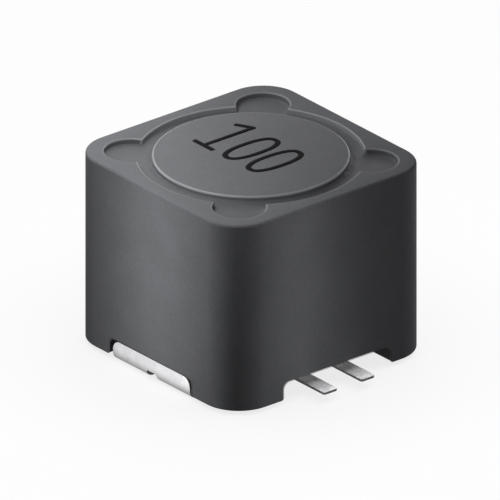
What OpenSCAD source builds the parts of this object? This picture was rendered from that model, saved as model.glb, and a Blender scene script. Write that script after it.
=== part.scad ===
// Shielded surface-mount power inductor: a wound ferrite drum bonded inside a square
// ferrite shield, standing on two stamped terminals. +Z is up, the board is z = 0, the
// origin is the middle of the footprint, and the two terminal feet lie along -Y and +Y.

/* [Shield core] */
// Side length of the square shield
shield_w = 12; // [11:0.25:16]
// Height of the shield
shield_h = 9.5; // [8:0.25:14]
// Radius of the four upright corners
corner_r = 1.9; // [1.4:0.1:2.4]
// Thinnest wall, in the middle of each side
wall = 0.7; // [0.5:0.05:1]
// Chamfer round the top outer edge
shield_chamfer = 0.1; // [0.05:0.01:0.2]
// Height of the notches along the bottom edge
notch_h = 0.88; // [0.7:0.02:1.2]
// Radius in the top corners of the notches
notch_r = 0.35; // [0.2:0.05:0.5]
// Width of the two notches that the strip ends come out of
strip_notch_w = 6.4; // [5:0.1:7]
// Sideways shift of those two notches, the same way round on both sides
strip_notch_shift = 0.25; // [0:0.05:0.4]

/* [Corner pockets] */
// Radius of the four pockets in the top face
pocket_r = 1.25; // [1:0.05:1.4]
// Web between a pocket and the shield's upright corner
pocket_web = 0.86; // [0.6:0.02:1.1]
// Depth of the pockets below the top face
pocket_h = 1.2; // [0.8:0.05:1.3]
// Depth of the cured adhesive's surface below the top face
recess_h = 0.28; // [0.1:0.02:0.5]

/* [Drum core] */
// Gap between the drum's flanges and the shield's bore
drum_gap = 0.7; // [0.4:0.05:0.9]
// Thickness of both flanges
flange_h = 1.35; // [1.3:0.05:1.8]
// Diameter of the post that carries the winding
post_d = 4.6; // [3.6:0.1:5]
// Chamfer round the rim of the top flange
drum_chamfer = 0.12; // [0.05:0.01:0.2]
// Height of the drum's top above the shield's top
drum_rise = 0.05; // [0:0.01:0.1]

/* [Winding] */
// Diameter of the enamelled wire
wire_d = 0.8; // [0.6:0.05:0.85]
// Clearance between turns, layers and core
wire_gap = 0.03; // [0.02:0.01:0.06]
// Clearance between the two leads and the shield's bore
lead_gap = 0.5; // [0.4:0.05:0.6]
// Radius of the bend that turns each lead down
lead_bend = 0.7; // [0.5:0.05:0.9]

/* [Terminals] */
// Thickness of the tinned copper sheet
sheet_t = 0.12; // [0.1:0.01:0.2]
// Height of the shield's underside above the board
stand_off = 0.2; // [0.16:0.02:0.3]
// Width of the side plate and the solder foot
plate_w = 5.6; // [4.8:0.1:6]
// Clearance between the side plate and each end of its notch
plate_end_gap = 0.22; // [0.1:0.02:0.3]
// Clearance between the side plate and the top of its notch
plate_top_gap = 0.04; // [0.02:0.01:0.1]
// Radius of the side plate's top corners
plate_corner_r = 0.5; // [0.2:0.05:0.6]
// Depth of the side plate's face inside the shield's face
plate_inset = 0.03; // [0:0.01:0.1]
// Outer radius of the bend between the side plate and the foot
plate_bend_r = 0.4; // [0.3:0.05:0.5]
// Length of the foot on the board, bend included
foot_l = 2.8; // [2.2:0.1:3]
// Width of the slot in the foot
slot_w = 0.75; // [0.5:0.05:1]
// Length of the slot, from the side plate inwards
slot_l = 1.3; // [0.8:0.1:1.8]
// Width of the neck between the foot and the strip
neck_w = 2.4; // [1.6:0.1:3.2]
// Width of the strip that carries the drum
strip_w = 0.82; // [0.7:0.02:1]
// Distance between the middles of the two strips
strip_pitch = 2.24; // [1.8:0.02:2.6]
// Height of the strips' undersides above the board
strip_rise = 0.5; // [0.4:0.02:0.6]
// Length of each strip end outside the shield
strip_out = 1.2; // [0.6:0.1:1.6]

/* [Solder and bonds] */
// Height of the solder on a strip
solder_h = 0.35; // [0.25:0.05:0.5]
// Width of the solder round the wire, at the strip
solder_lip = 0.2; // [0.1:0.02:0.24]
// Clearance between the solder and its notch in the drum's bottom flange
solder_gap = 0.07; // [0.04:0.01:0.12]
// Length of the epoxy pad between a foot and the drum
pad_l = 4.4; // [3:0.1:5]
// Width of that pad
pad_w = 0.9; // [0.6:0.05:1]

/* [Value code] */
// Height of the printed figures
figure_h = 3.2; // [2.4:0.1:4]
// Width of a printed nought
nought_w = 1.44; // [1.1:0.02:1.8]
// Width of a printed stroke
stroke_w = 0.28; // [0.2:0.02:0.36]
// Distance between the middles of neighbouring figures
figure_pitch = 1.7; // [1.6:0.02:2.2]
// Squareness of a nought: 2 is a plain ellipse
nought_power = 2.4; // [2:0.1:4]
// Width of the foot stroke of the one
one_foot_w = 1.4; // [1:0.05:1.6]
// Reach of the one's slanted flag to the left of its stem
flag_w = 0.68; // [0.4:0.02:0.9]
// Drop of the flag
flag_drop = 0.4; // [0.2:0.02:0.8]
// Place of the middle figure along X
code_x = -0.45; // [-0.8:0.05:0]
// Place of the middle figure along Y
code_y = 0.4; // [-0.4:0.05:0.6]
// Thickness of the ink
ink_h = 0.03; // [0.02:0.01:0.05]

/* [Hidden] */

$fn = 96;
over = 1;                   // how far a cutting shape runs past what it cuts
half_w = shield_w / 2;
shield_top = stand_off + shield_h;
notch_top = stand_off + notch_h;
bore_r = half_w - wall;
drum_r = bore_r - drum_gap;
drum_z = strip_rise + sheet_t;
drum_top = shield_top + drum_rise;

// Middle of a corner pocket, as far along X as along Y
pocket_at = half_w - corner_r + (corner_r - pocket_web - pocket_r) / sqrt(2);

// Side plate, foot and strip
plate_y = half_w - plate_inset;
plate_top = notch_top - plate_top_gap;
slot_top = stand_off + sheet_t;
foot_end = plate_y - foot_l;
strip_y = strip_pitch / 2;
mitre = sheet_t * tan(22.5);  // shift of the upper corners of a 45 degree step

// Winding: up in the inner layer, down in the outer one
wire_r = wire_d / 2;
inner_r = post_d / 2 + wire_gap + wire_r;
outer_r = inner_r + wire_gap + wire_d;
lead_r = bore_r - lead_gap - wire_r;
low_z = drum_z + flange_h + wire_gap + wire_r;
high_z = drum_top - flange_h - wire_gap - wire_r;
layer_turns = floor((high_z - low_z) / (wire_d + wire_gap));
turn_rise = (high_z - low_z) / layer_turns;
lead_at = -asin(strip_y / lead_r);      // direction of the front lead; the back one is opposite
lead_end_z = drum_z + solder_h;
lead_notch_r = wire_r + solder_lip + solder_gap;
bend_turn = lead_bend / lead_r * 180 / PI;
lead_in_turn = 100;                     // degrees over which each lead changes its radius
layer_step_turn = 80;
lead_out_turn = 60;
ring_turn = 18;                         // degrees between two rings of the wire
ring_sides = 8;
whole_turn = 180 + 360 * (2 * layer_turns - 1);
outer_turn = whole_turn - 2 * bend_turn - lead_in_turn - 360 * layer_turns
             - layer_step_turn - lead_out_turn;
outer_end_z = high_z - turn_rise * outer_turn / 360;

// Eases from 0 to 1 without a kink at either end
function ease(t) = t * t * (3 - 2 * t);
function mix(a, b, t) = a + (b - a) * t;
function around(r, turn, z) = [r * cos(lead_at + turn), r * sin(lead_at + turn), z];
// Steps from 0 to 1, without the 0, at most ring_turn degrees apart
function steps(turn) = let (n = ceil(turn / ring_turn)) [for (i = [1:n]) i / n];

// Middle line of the wire, from the front strip to the back strip
inner_from = bend_turn + lead_in_turn;
step_from = inner_from + 360 * layer_turns;
outer_from = step_from + layer_step_turn;
out_from = outer_from + outer_turn;
down_from = out_from + lead_out_turn;
wire_line = concat(
    [around(lead_r, 0, lead_end_z)],
    [for (a = [0:ring_turn:90])
        around(lead_r, bend_turn * (1 - cos(a)), low_z - lead_bend * (1 - sin(a)))],
    [for (t = steps(lead_in_turn))
        around(mix(lead_r, inner_r, ease(t)), bend_turn + lead_in_turn * t, low_z)],
    [for (t = steps(360 * layer_turns))
        around(inner_r, inner_from + 360 * layer_turns * t, mix(low_z, high_z, t))],
    [for (t = steps(layer_step_turn))
        around(mix(inner_r, outer_r, ease(t)), step_from + layer_step_turn * t, high_z)],
    [for (t = steps(outer_turn))
        around(outer_r, outer_from + outer_turn * t, mix(high_z, outer_end_z, t))],
    [for (t = steps(lead_out_turn))
        around(mix(outer_r, lead_r, ease(t)), out_from + lead_out_turn * t, outer_end_z)],
    [for (a = [ring_turn:ring_turn:90])
        around(lead_r, down_from + bend_turn * sin(a), outer_end_z - lead_bend * (1 - cos(a)))],
    [around(lead_r, whole_turn, lead_end_z)]);

function unit(v) = v / norm(v);
// Direction of the wire at point i; its two ends point straight up and straight down
function along(i) = let (n = len(wire_line))
    i == 0 ? [0, 0, 1] : i == n - 1 ? [0, 0, -1] : unit(wire_line[i + 1] - wire_line[i - 1]);
function wire_ring(i) = let (
        p = wire_line[i],
        t = along(i),
        out = unit([p[0], p[1], 0]),
        u = unit(out - (out * t) * t),
        v = cross(t, u))
    [for (k = [0:ring_sides - 1]) let (a = 360 * k / ring_sides)
        p + wire_r * (cos(a) * u + sin(a) * v)];

// Square outline with round corners
module rounded_square(w, r) {
    square([w, w - 2 * r], center = true);
    square([w - 2 * r, w], center = true);
    for (x = [-1, 1], y = [-1, 1]) translate([x, y] * (w / 2 - r)) circle(r);
}

// Ring of the chamfered top edge: straight slopes with a cone in each corner
module chamfered_top(w, r, c) {
    for (turn = [0, 90]) rotate(turn) rotate([90, 0, 0])
        linear_extrude(w - 2 * r, center = true)
            polygon([[-w / 2, 0], [w / 2, 0], [w / 2 - c, c], [-w / 2 + c, c]]);
    for (x = [-1, 1], y = [-1, 1]) translate([x, y, 0] * (w / 2 - r)) cylinder(c, r, r - c);
}

// Outline of a notch, open at the bottom, with its top corners rounded
module notch_outline(w, top, r) {
    translate([-w / 2, -over]) square([w, top - r + over]);
    translate([-w / 2 + r, 0]) square([w - 2 * r, top]);
    for (x = [-1, 1]) translate([x * (w / 2 - r), top - r]) circle(r);
}

// The notches for the terminals' strips, cut from inside outwards through +X and -X
module strip_notches() {
    for (side = [0, 180]) rotate(side) translate([0, strip_notch_shift, 0]) rotate([90, 0, 90])
        linear_extrude(half_w + over) notch_outline(strip_notch_w, notch_top, notch_r);
}

module plate_notches() {
    rotate([90, 0, 0]) linear_extrude(shield_w + 2 * over, center = true)
        notch_outline(plate_w + 2 * plate_end_gap, notch_top, notch_r);
}

module at_pockets() {
    for (x = [-1, 1], y = [-1, 1]) translate([x, y] * pocket_at) children();
}

module shield_core() {
    color("#5b5c5f") difference() {
        union() {
            translate([0, 0, stand_off]) linear_extrude(shield_h - shield_chamfer)
                rounded_square(shield_w, corner_r);
            translate([0, 0, shield_top - shield_chamfer])
                chamfered_top(shield_w, corner_r, shield_chamfer);
        }
        cylinder(shield_top + over, bore_r, bore_r);
        translate([0, 0, shield_top - pocket_h]) linear_extrude(pocket_h + over)
            at_pockets() circle(pocket_r);
        plate_notches();
        strip_notches();
    }
}

// Open slot in the rim of the bottom flange, for one lead
module lead_notch() {
    rotate(lead_at) translate([lead_r, 0, drum_z - over]) {
        cylinder(flange_h + over + wire_gap, lead_notch_r, lead_notch_r);
        translate([0, -lead_notch_r, 0])
            cube([drum_r, 2 * lead_notch_r, flange_h + over + wire_gap]);
    }
}

module drum_core() {
    color("#66676a") difference() {
        rotate_extrude() polygon([
            [0, drum_z], [drum_r, drum_z], [drum_r, drum_z + flange_h],
            [post_d / 2, drum_z + flange_h], [post_d / 2, drum_top - flange_h],
            [drum_r, drum_top - flange_h], [drum_r, drum_top - drum_chamfer],
            [drum_r - drum_chamfer, drum_top], [0, drum_top]]);
        for (side = [0, 180]) rotate(side) lead_notch();
    }
}

// One enamelled copper wire, swept along wire_line
module winding() {
    rings = len(wire_line);
    last = (rings - 1) * ring_sides;
    color("#a8602c") polyhedron(
        points = [for (i = [0:rings - 1]) each wire_ring(i)],
        faces = concat(
            [[for (k = [0:ring_sides - 1]) k]],
            [for (i = [0:rings - 2], k = [0:ring_sides - 1])
                let (a = i * ring_sides, j = (k + 1) % ring_sides)
                each [[a + k, a + ring_sides + k, a + j],
                      [a + j, a + ring_sides + k, a + ring_sides + j]]],
            [[for (k = [ring_sides - 1:-1:0]) last + k]]));
}

// Upright plate that stands in the shield's notch
module side_plate() {
    translate([0, sheet_t - plate_y, 0]) rotate([90, 0, 0]) linear_extrude(sheet_t) {
        translate([-plate_w / 2, plate_bend_r])
            square([plate_w, plate_top - plate_bend_r - plate_corner_r]);
        translate([-plate_w / 2 + plate_corner_r, plate_bend_r])
            square([plate_w - 2 * plate_corner_r, plate_top - plate_bend_r]);
        intersection() {
            for (x = [-1, 1]) translate([x * (plate_w / 2 - plate_corner_r),
                                         plate_top - plate_corner_r]) circle(plate_corner_r);
            translate([-plate_w / 2, plate_bend_r]) square([plate_w, plate_top]);
        }
    }
}

// Section of the bend and the foot, seen along +X
module foot_section() {
    translate([plate_bend_r - plate_y, plate_bend_r]) difference() {
        circle(plate_bend_r);
        circle(plate_bend_r - sheet_t);
        translate([-over, 0]) square(2 * over);
        translate([0, -over]) square(2 * over);
    }
    translate([plate_bend_r - plate_y, 0]) square([foot_l - plate_bend_r, sheet_t]);
}

// Section of the neck: up from the foot at 45 degrees, then level to the strip
module neck_section() {
    step_y = -foot_end + strip_rise;
    polygon([[-foot_end, 0], [step_y, strip_rise], [-strip_y, strip_rise],
             [-strip_y, strip_rise + sheet_t], [step_y - mitre, strip_rise + sheet_t],
             [-foot_end - mitre, sheet_t]]);
}

// One stamping: side plate, bend, slotted foot, neck and strip
module terminal() {
    color("#c9c9cc") {
        difference() {
            union() {
                side_plate();
                rotate([90, 0, 90]) linear_extrude(plate_w, center = true) foot_section();
            }
            translate([-slot_w / 2, -plate_y - over, -over])
                cube([slot_w, slot_l - slot_w / 2 + over, slot_top + over]);
            translate([0, slot_l - slot_w / 2 - plate_y, -over])
                cylinder(slot_top + over, slot_w / 2, slot_w / 2);
        }
        rotate([90, 0, 90]) linear_extrude(neck_w, center = true) neck_section();
        translate([-half_w - strip_out, -strip_y - strip_w / 2, strip_rise])
            cube([shield_w + 2 * strip_out, strip_w, sheet_t]);
    }
}

module terminal_front() {
    terminal();
}

module terminal_back() {
    rotate(180) terminal();
}

// Solder that joins a lead's end to its strip
module solder() {
    color("#b9babd") rotate(lead_at) translate([lead_r, 0, drum_z])
        cylinder(solder_h, wire_r + solder_lip, wire_r);
}

module solder_front() {
    solder();
}

module solder_back() {
    rotate(180) solder();
}

// Epoxy pad that bonds a foot to the underside of the drum
module bond() {
    pad_y = foot_end + mitre + pad_w / 2 + wire_gap;
    color("#2b2a29") translate([0, -pad_y, sheet_t]) linear_extrude(drum_z - sheet_t) {
        square([pad_l - pad_w, pad_w], center = true);
        for (x = [-1, 1]) translate([x * (pad_l - pad_w) / 2, 0]) circle(pad_w / 2);
    }
}

module bond_front() {
    bond();
}

module bond_back() {
    rotate(180) bond();
}

// Cured epoxy round the drum and in the four pockets, one piece
module gap_adhesive() {
    color("#5f6063") translate([0, 0, shield_top - pocket_h])
        linear_extrude(pocket_h - recess_h) difference() {
            union() {
                circle(bore_r);
                at_pockets() circle(pocket_r);
            }
            circle(drum_r);
        }
}

// Bends a sine or cosine outwards, which makes an ellipse squarer
function fuller(v) = sign(v) * pow(abs(v), 2 / nought_power);

// Upright oval, for the outside and the inside of a nought
module oval(w, h) {
    polygon([for (a = [0:7.5:352.5]) [w / 2 * fuller(cos(a)), h / 2 * fuller(sin(a))]]);
}

module nought() {
    difference() {
        oval(nought_w, figure_h);
        oval(nought_w - 2 * stroke_w, figure_h - 2 * stroke_w);
    }
}

// A one with a slanted flag and a foot stroke
module one() {
    side = stroke_w / 2;
    top = figure_h / 2;
    translate([-side, -top]) square([stroke_w, figure_h]);
    translate([-one_foot_w / 2, -top]) square([one_foot_w, stroke_w]);
    polygon([[side, top], [-side, top], [-side - flag_w, top - flag_drop],
             [-side - flag_w, top - flag_drop - stroke_w], [side, top - stroke_w]]);
}

// Plain figures that give the value
module value_code() {
    color("#1c1b1d") translate([code_x, code_y, drum_top]) linear_extrude(ink_h) {
        translate([-figure_pitch, 0]) one();
        nought();
        translate([figure_pitch, 0]) nought();
    }
}

shield_core();
drum_core();
winding();
terminal_front();
terminal_back();
solder_front();
solder_back();
bond_front();
bond_back();
gap_adhesive();
value_code();
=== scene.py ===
# Shielded surface-mount inductor: finish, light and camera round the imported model.
import bpy, bmesh, math
from mathutils import Matrix, Vector, noise
from mathutils.geometry import delaunay_2d_cdt


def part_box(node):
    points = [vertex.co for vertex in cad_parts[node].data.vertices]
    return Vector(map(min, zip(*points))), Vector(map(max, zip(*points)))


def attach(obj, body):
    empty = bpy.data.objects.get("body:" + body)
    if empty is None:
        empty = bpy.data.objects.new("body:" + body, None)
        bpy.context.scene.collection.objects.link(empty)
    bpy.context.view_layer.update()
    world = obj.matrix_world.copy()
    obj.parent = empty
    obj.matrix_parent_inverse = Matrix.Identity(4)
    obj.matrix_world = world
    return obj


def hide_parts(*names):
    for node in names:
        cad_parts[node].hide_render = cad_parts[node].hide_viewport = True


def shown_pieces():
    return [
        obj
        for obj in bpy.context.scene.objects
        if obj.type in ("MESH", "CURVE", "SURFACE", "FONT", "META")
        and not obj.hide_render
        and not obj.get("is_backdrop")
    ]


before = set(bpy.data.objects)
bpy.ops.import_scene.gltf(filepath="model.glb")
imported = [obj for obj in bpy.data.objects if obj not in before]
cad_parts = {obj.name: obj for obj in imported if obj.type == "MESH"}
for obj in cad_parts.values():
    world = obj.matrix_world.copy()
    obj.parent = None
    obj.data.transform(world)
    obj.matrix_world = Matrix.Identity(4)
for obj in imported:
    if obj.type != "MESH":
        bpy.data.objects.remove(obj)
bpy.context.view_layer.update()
mm = 0.001


def boxMm(node):
    low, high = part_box(node)
    return low / mm, high / mm


shieldLow, shieldHigh = boxMm("shield_core")
drumLow, drumHigh = boxMm("drum_core")
glueLow, glueHigh = boxMm("gap_adhesive")
frontLow, frontHigh = boxMm("terminal_front")
solderLow, solderHigh = boxMm("solder_front")
bondLow, bondHigh = boxMm("bond_front")
inkHigh = boxMm("value_code")[1]
print("frame loaded, nodes:", len(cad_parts))


# meshes are drawn in millimetres and turned to metres once, in meshPiece
def arc(middle, r, start, end, steps):
    angles = [math.radians(start + (end - start) * i / steps) for i in range(steps + 1)]
    return [(middle[0] + r * math.cos(a), middle[1] + r * math.sin(a)) for a in angles]


def quarter(r, steps):
    # pairs of (inwards, downwards) round a worn edge, from the wall's line to the flat's
    turns = [math.pi / 2 * i / steps for i in range(steps + 1)]
    return [(r * (1 - math.cos(a)), r * (1 - math.sin(a))) for a in turns]


def atHeight(points, z):
    return [(x, y, z) for x, y in points]


def ease(t):
    return t * t * (3 - 2 * t)


def mix(a, b, t):
    return a + (b - a) * t


def inside(x, y, outline):
    hit = False
    for (x0, y0), (x1, y1) in zip(outline, outline[1:] + outline[:1]):
        if (y0 > y) != (y1 > y) and x < (x1 - x0) * (y - y0) / (y1 - y0) + x0:
            hit = not hit
    return hit


def addRings(bm, rings):
    # joins closed rings of equal length with quads and gives back their vertices
    rows = [[bm.verts.new(p) for p in ring] for ring in rings]
    count = len(rows[0])
    for low, high in zip(rows, rows[1:]):
        for i in range(count):
            j = (i + 1) % count
            bm.faces.new((low[i], low[j], high[j], high[i]))
    return rows


def fillBetween(bm, *loops):
    # flat face inside the first loop, round the other loops
    edges = []
    for loop in loops:
        for a, b in zip(loop, loop[1:] + loop[:1]):
            edges.append(bm.edges.get((a, b)) or bm.edges.new((a, b)))
    bmesh.ops.triangle_fill(bm, use_beauty=True, use_dissolve=False, edges=edges)


def capEnds(bm, rows):
    bm.faces.new(rows[0])
    bm.faces.new(rows[-1])


def turnRoundZ(bm, angle):
    bmesh.ops.rotate(bm, cent=(0, 0, 0), verts=bm.verts, matrix=Matrix.Rotation(angle, 3, "Z"))


def closedLoops(*loops):
    # points and edges of closed outlines, as the triangulation takes them
    points, edges = [], []
    for loop in loops:
        first = len(points)
        points += [Vector(p) for p in loop]
        edges += [(first + i, first + (i + 1) % len(loop)) for i in range(len(loop))]
    return points, edges


def meshPiece(name, bm):
    bmesh.ops.recalc_face_normals(bm, faces=bm.faces)
    bmesh.ops.scale(bm, vec=(mm, mm, mm), verts=bm.verts)
    mesh = bpy.data.meshes.new(name)
    bm.to_mesh(mesh)
    bm.free()
    piece = bpy.data.objects.new(name, mesh)
    bpy.context.scene.collection.objects.link(piece)
    return piece


def applied(piece):
    # the evaluated mesh takes the place of the modifiers
    evaluated = piece.evaluated_get(bpy.context.evaluated_depsgraph_get())
    mesh = bpy.data.meshes.new_from_object(evaluated)
    piece.modifiers.clear()
    piece.data = mesh
    mesh.name = piece.name
    return piece


def cutWith(piece, cutter):
    cut = piece.modifiers.new("cut", "BOOLEAN")
    cut.operation = "DIFFERENCE"
    cut.solver = "EXACT"
    cut.object = cutter
    applied(piece)
    bpy.data.objects.remove(cutter)


def smoothed(piece, angle=38):
    # round edges shade smooth and flats stay flat
    for face in piece.data.polygons:
        face.use_smooth = True
    piece.data.set_sharp_from_angle(angle=math.radians(angle))
    weigh = piece.modifiers.new("weigh", "WEIGHTED_NORMAL")
    weigh.keep_sharp = True
    weigh.weight = 100
    return applied(piece)


def sortFaces(piece, choose):
    # choose gives a face's material number from its middle
    for face in piece.data.polygons:
        face.material_index = choose(face.center / mm)
    return piece


def finishPiece(piece, materials, slot, *nodes):
    numbers = [face.material_index for face in piece.data.polygons]
    piece.data.materials.clear()
    for material in materials:
        piece.data.materials.append(material)
    piece.data.polygons.foreach_set("material_index", numbers)
    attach(piece, "root")
    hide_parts(*nodes)


def addNode(tree, kind, inputs={}, **settings):
    # a socket among the inputs is linked, any other value is set
    node = tree.nodes.new(kind)
    for key, value in settings.items():
        setattr(node, key, value)
    for key, value in inputs.items():
        if isinstance(value, bpy.types.NodeSocket):
            tree.links.new(value, node.inputs[key])
        else:
            node.inputs[key].default_value = value
    return node


def linear(hexText):
    channels = [int(hexText[i:i + 2], 16) / 255 for i in (1, 3, 5)]
    return [c / 12.92 if c <= 0.04045 else ((c + 0.055) / 1.055) ** 2.4 for c in channels] + [1]


# shield: a pressed and sintered ferrite block with a bore, pockets and notches
shield = dict(
    half=shieldHigh.y,          # half the side of the square
    bottom=shieldLow.z,
    top=shieldHigh.z,
    cornerR=1.9,
    edgeR=0.14,                 # top outer edge, rounded by tumbling
    footR=0.07,                 # bottom outer edge
    mouthR=0.07,                # edge of the bore and the pockets
    boreR=5.3,
    pocketR=1.25,
    pocketAt=3.9515,            # along X and along Y
    pocketFloor=glueLow.z,
    notchTop=shieldLow.z + 0.88,
    notchR=0.35,
    notchEdge=0.04,             # rounding where a notch meets a side
    legR=0.18,                  # lower corners of the legs beside a notch
    plateNotch=6.04,
    stripNotch=6.4,
    stripShift=0.25,            # the strip notches' shift, the same way round on both sides
    cornerSteps=20,
    roundSteps=5,
)


def shieldOutline(inset):
    r, at = shield["cornerR"] - inset, shield["half"] - shield["cornerR"]
    points = []
    for start, sx, sy in ((0, 1, 1), (90, -1, 1), (180, -1, -1), (270, 1, -1)):
        points += arc((sx * at, sy * at), r, start, start + 90, shield["cornerSteps"])
    return points


def mouthOutline(grow, lobes=True):
    # the bore and its four pockets, grown into the ferrite; without lobes the points stay on the bore
    r, lobeR, reach = shield["boreR"] + grow, shield["pocketR"] + grow, shield["pocketAt"] * math.sqrt(2)
    meet = math.acos((reach ** 2 + r ** 2 - lobeR ** 2) / (2 * reach * r))
    swing = math.degrees(math.atan2(r * math.sin(meet), r * math.cos(meet) - reach))
    meet = math.degrees(meet)
    points = []
    for diagonal in (45, 135, 225, 315):
        a = math.radians(diagonal)
        middle = (reach * math.cos(a), reach * math.sin(a))
        if lobes:
            points += arc(middle, lobeR, diagonal - swing, diagonal + swing, 40)
        else:
            points += arc((0, 0), r, diagonal - meet, diagonal + meet, 40)
        points += arc((0, 0), r, diagonal + meet, diagonal + 90 - meet, 26)[1:-1]
    return points


def notchCutter(name, width, shift, turn, fromMiddle):
    # a prism with round top corners, which opens a little where it leaves the ferrite
    s = shield
    e, r, leg = s["notchEdge"], s["notchR"], s["legR"]
    past = 0.004                                        # past the side, so that no edge lies in it
    flare = [(s["half"] + past - down, e - back) for back, down in reversed(quarter(e, s["roundSteps"]))]
    stations = [(y, e - g) for y, g in flare] + [(s["half"] + 1, e)]
    stations = ([(0.5, 0)] if fromMiddle else [(-y, g) for y, g in reversed(stations)]) + stations
    rings = []
    for y, g in stations:
        w, top = width / 2 + g, s["notchTop"] + g
        side = [(w + leg, s["bottom"] - 1)]
        side += arc((w + leg, s["bottom"] + leg), leg, 262, 180, 8)
        side += arc((w - r, top - r), r, 0, 90, 10)
        rings.append([(x + shift, y, z) for x, z in side + [(-x, z) for x, z in reversed(side)]])
    bm = bmesh.new()
    capEnds(bm, addRings(bm, rings))
    turnRoundZ(bm, math.radians(turn))
    return meshPiece(name, bm)


def makeShield():
    s = shield
    foot, edge, mouth = (quarter(s[key], s["roundSteps"]) for key in ("footR", "edgeR", "mouthR"))
    outer = [atHeight(shieldOutline(i), s["bottom"] + d) for i, d in reversed(foot)]
    outer += [atHeight(shieldOutline(i), s["top"] - d) for i, d in edge]
    inner = [atHeight(mouthOutline(0, False), z) for z in (s["bottom"], s["pocketFloor"])]
    inner += [atHeight(mouthOutline(0), s["pocketFloor"])]
    inner += [atHeight(mouthOutline(i), s["top"] - d) for i, d in mouth]
    bm = bmesh.new()
    outerRows, innerRows = addRings(bm, outer), addRings(bm, inner)
    fillBetween(bm, outerRows[-1], innerRows[-1])
    fillBetween(bm, outerRows[0], innerRows[0])
    bmesh.ops.remove_doubles(bm, verts=bm.verts, dist=1e-5)
    piece = meshPiece("shieldCore", bm)
    cutWith(piece, notchCutter("plateNotch", s["plateNotch"], 0, 0, False))
    for turn in (-90, 90):
        cutWith(piece, notchCutter("stripNotch", s["stripNotch"], -s["stripShift"], turn, True))
    return smoothed(piece)


def shieldFinishAt(middle):
    # 1 on the bore above the pocket floors and 2 on the pockets' edges, which take a painted highlight, 3 on
    # their walls, 4 in the terminal plates' notches and 5 in the strips' notches, which take painted shade
    s = shield
    out = math.hypot(middle.x, middle.y)
    if s["pocketFloor"] + 0.01 < middle.z < s["top"] - 0.001:
        if out < s["boreR"] + s["mouthR"]:
            return 1
        fromPocket = math.hypot(abs(middle.x) - s["pocketAt"], abs(middle.y) - s["pocketAt"])
        if fromPocket < s["pocketR"] + s["mouthR"]:
            return 2 if middle.z > s["top"] - s["mouthR"] else 3
    inNotch = s["bottom"] + s["footR"] < middle.z < s["notchTop"] + 0.001
    inWall = max(abs(middle.x), abs(middle.y)) < s["half"] - s["notchEdge"] and out > s["boreR"] + 0.01
    if inNotch and inWall:
        return 4 if abs(middle.y) > abs(middle.x) else 5
    return 0


shieldPiece = sortFaces(makeShield(), shieldFinishAt)
print("shield:", len(shieldPiece.data.polygons), "faces")


# drum: a ferrite bobbin, turned round Z, with two open slots for the leads
drum = dict(
    r=drumHigh.y,
    low=drumLow.z,
    top=drumHigh.z,
    flange=1.35,
    postR=2.3,
    rimR=0.09,                  # rim of the top face, worn round
    edgeR=0.08,                 # the flanges' other edges
    leadR=4.4,                  # where a lead passes the bottom flange
    leadY=1.12,
    slotR=0.67,
    steps=192,
)
leadAngle = -math.asin(drum["leadY"] / drum["leadR"])


def lathe(bm, profile, steps, middle=(0, 0)):
    # the profile's first and last points are poles, at radius 0
    rings = []
    for r, z in profile[1:-1]:
        turns = [math.tau * i / steps for i in range(steps)]
        rings.append([(middle[0] + r * math.cos(a), middle[1] + r * math.sin(a), z) for a in turns])
    rows = addRings(bm, rings)
    for (_, z), row in ((profile[0], rows[0]), (profile[-1], rows[-1])):
        pole = bm.verts.new((middle[0], middle[1], z))
        for i in range(steps):
            bm.faces.new((row[i], row[(i + 1) % steps], pole))


def makeDrum():
    d = drum
    lowTop, highLow = d["low"] + d["flange"], d["top"] - d["flange"]
    edge, rim = quarter(d["edgeR"], 4), quarter(d["rimR"], 8)
    profile = [(0, d["low"])]
    profile += [(d["r"] - i, d["low"] + down) for i, down in reversed(edge)]
    profile += [(d["r"] - i, lowTop - down) for i, down in edge]
    profile += [(d["postR"], lowTop), (d["postR"], highLow)]
    profile += [(d["r"] - i, highLow + down) for i, down in reversed(edge)]
    profile += [(d["r"] - i, d["top"] - down) for i, down in rim]
    profile += [(d["r"] / 2, d["top"]), (0, d["top"])]
    bm = bmesh.new()
    lathe(bm, profile, d["steps"])
    piece = meshPiece("drumCore", bm)
    for turn in (0, 180):
        slot = arc((d["leadR"], 0), d["slotR"], 90, 270, 24)
        slot += [(d["r"] + 1, -d["slotR"]), (d["r"] + 1, d["slotR"])]
        bm = bmesh.new()
        capEnds(bm, addRings(bm, [atHeight(slot, d["low"] - 1), atHeight(slot, lowTop + 0.2)]))
        turnRoundZ(bm, leadAngle + math.radians(turn))
        cutWith(piece, meshPiece("leadSlot", bm))
    return smoothed(piece)


def drumFinishAt(middle):
    # 1 on the rounded rim of the top face, which takes a painted highlight
    out = math.hypot(middle.x, middle.y)
    return 1 if middle.z > drum["top"] - drum["rimR"] and out > drum["r"] - drum["rimR"] else 0


drumPiece = sortFaces(makeDrum(), drumFinishAt)
print("drum:", len(drumPiece.data.polygons), "faces")


# adhesive: filled epoxy, cured in the ring round the drum and in the pockets
adhesive = dict(
    top=glueHigh.z,
    bottom=glueLow.z,
    creep=0.07,                 # climb of the epoxy up the walls
    drumCreep=0.1,              # further climb up the drum's rim
    reach=0.11,                 # distance over which the climb fades
    wave=0.012,                 # unevenness of the surface
    waveSize=1.1,
    pitch=0.13,                 # spacing of the surface's points
    clear=0.002,                # gap to the walls, so that no two faces share a plane
)


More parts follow.
